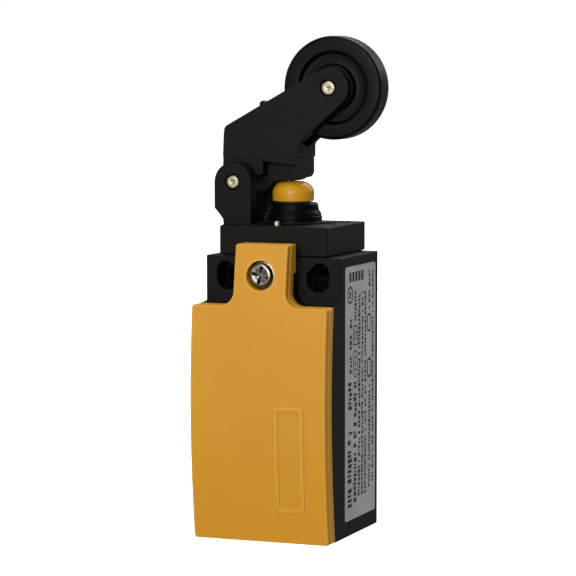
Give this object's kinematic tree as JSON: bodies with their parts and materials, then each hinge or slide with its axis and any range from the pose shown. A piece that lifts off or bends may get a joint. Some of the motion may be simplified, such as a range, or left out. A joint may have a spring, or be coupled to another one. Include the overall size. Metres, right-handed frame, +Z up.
{
  "type": "roller lever limit switch",
  "caption": "Narrow moulded limit switch with a bowed front cover, a sprung plunger head under a rubber boot and a forked lever that carries a roller.",
  "frame": {"origin": "midway between the two fixing slots, on the flat rear mounting face", "axes": "+Z up the body towards the actuator head, +Y out of the rear mounting face, +X to the right seen from the cover side"},
  "size_m": [0.0367, 0.0338, 0.1084],
  "materials": {
    "housing_black": "fine moulded texture, glass-filled plastic",
    "lever_black": "fine moulded texture, glass-filled plastic",
    "roller_black": "smooth turned face, satin tread",
    "cover_amber": "very fine matt grain",
    "cap_amber": "smooth satin",
    "boot_rubber": "satin moulded rubber",
    "seal_rubber": "matt",
    "plate_foil": "satin silver foil",
    "pin_nickel": "nickel plated, machined ends",
    "screw_steel": "zinc plated, cold headed",
    "spring_steel": "drawn wire",
    "terminal_brass": "stamped strip",
    "contact_silver": "domed silver alloy rivet",
    "block_grey": "glass-filled moulding",
    "slider_cream": "smooth moulding"
  },
  "bodies": {
    "switch_body": {"housing": "housing_black", "rating_plate": "plate_foil", "cover_nut": "terminal_brass", "head_body": "housing_black", "head_seal": "seal_rubber", "head_lock_ring": "spring_steel", "plunger_boot": "boot_rubber", "boot_ring": "housing_black", "lever_pin": "pin_nickel", "plunger_spring": "spring_steel", "block_base": "block_grey", "block_front": "slider_cream", "terminal_nc_left": "terminal_brass", "terminal_nc_right": "terminal_brass", "terminal_no_left": "terminal_brass", "terminal_no_right": "terminal_brass", "fixed_contact_nc_left": "contact_silver", "fixed_contact_nc_right": "contact_silver", "fixed_contact_no_left": "contact_silver", "fixed_contact_no_right": "contact_silver", "terminal_clamp_nc_left": "screw_steel", "terminal_clamp_nc_right": "screw_steel", "terminal_clamp_no_left": "screw_steel", "terminal_clamp_no_right": "screw_steel", "terminal_screw_nc_left": "screw_steel", "terminal_screw_nc_right": "screw_steel", "terminal_screw_no_left": "screw_steel", "terminal_screw_no_right": "screw_steel", "slider_spring": "spring_steel"},
    "lever_arm": {"lever": "lever_black", "roller_pin": "pin_nickel"},
    "roller_wheel": {"roller": "roller_black"},
    "plunger": {"plunger_cap": "cap_amber", "plunger_stem": "block_grey", "plunger_circlip": "spring_steel"},
    "slider": {"contact_slider": "slider_cream", "nc_bridge": "terminal_brass", "nc_spring": "spring_steel", "no_spring": "spring_steel", "moving_contact_nc_left": "contact_silver", "moving_contact_nc_right": "contact_silver"},
    "make_bridge": {"no_bridge": "terminal_brass", "moving_contact_no_left": "contact_silver", "moving_contact_no_right": "contact_silver"},
    "cover": {"front_cover": "cover_amber", "cover_gasket": "seal_rubber"},
    "captive_screw": {"cover_screw": "screw_steel", "screw_seal": "seal_rubber"}
  },
  "joints": [
    {"name": "lever_pivot", "type": "hinge", "parent": "switch_body", "child": "lever_arm", "pos_m": [-0.01075, -0.0119, 0.02075], "axis": [0, 1, 0], "range_deg": [0, 18], "stiffness_Nm_per_rad": 0.3, "springref_deg": -14.32},
    {"name": "roller_spin", "type": "hinge", "parent": "lever_arm", "child": "roller_wheel", "pos_m": [0.01, -0.0119, 0.0412], "axis": [0, 1, 0], "continuous": true},
    {"name": "plunger_slide", "type": "slide", "parent": "switch_body", "child": "plunger", "axis": [0, 0, -1], "range_m": [0, 0.0036], "deforming": ["plunger_boot", "plunger_spring"]},
    {"name": "slider_slide", "type": "slide", "parent": "switch_body", "child": "slider", "axis": [0, 0, -1], "range_m": [0, 0.0036], "deforming": ["slider_spring"]},
    {"name": "make_bridge_slide", "type": "slide", "parent": "switch_body", "child": "make_bridge", "axis": [0, 0, -1], "range_m": [0, 0.00225], "deforming": ["no_spring"]},
    {"name": "cover_off", "type": "slide", "parent": "switch_body", "child": "cover", "axis": [0, -1, 0], "range_m": [0, 0.025]},
    {"name": "cover_screw_turn", "type": "hinge", "parent": "cover", "child": "captive_screw", "pos_m": [0, -0.03, 0.0015], "axis": [0, 1, 0], "continuous": true}
  ],
  "couplings": [
    {"joint": "plunger_slide", "follows": "lever_pivot", "m_per_rad": 0.01142},
    {"joint": "slider_slide", "follows": "lever_pivot", "m_per_rad": 0.01142},
    {"joint": "make_bridge_slide", "follows": "lever_pivot", "m_per_rad": 0.007}
  ]
}
